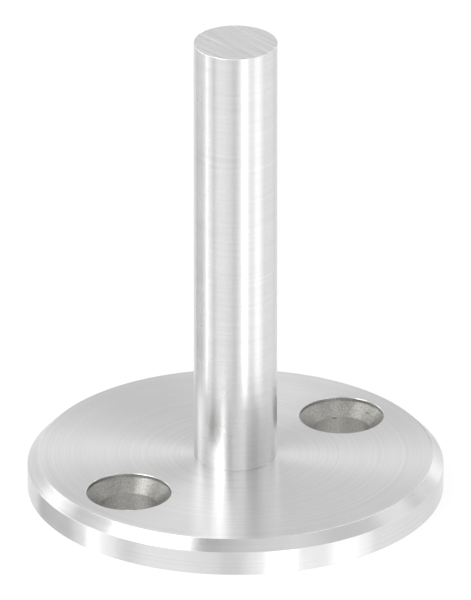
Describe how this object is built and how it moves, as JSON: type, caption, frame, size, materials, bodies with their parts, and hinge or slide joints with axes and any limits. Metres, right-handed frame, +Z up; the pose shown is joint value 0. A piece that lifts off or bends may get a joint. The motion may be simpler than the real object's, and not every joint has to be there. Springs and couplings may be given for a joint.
{
  "type": "handrail support",
  "caption": "Round chamfered plate with countersunk screw holes and an upright round stem that carries a handrail.",
  "frame": {"origin": "centre of the plate's underside", "axes": "+Z up the stem, away from the wall or floor; the screw holes lie on the X axis"},
  "size_m": [0.06, 0.06, 0.07],
  "materials": {
    "turned_plate": "turned face, satin",
    "brushed_stem": "brushed round the bar",
    "ground_weld": "weld ground flat"
  },
  "bodies": {
    "root": {"base_plate": "turned_plate", "stem": "brushed_stem", "back_weld": "ground_weld"}
  },
  "joints": []
}
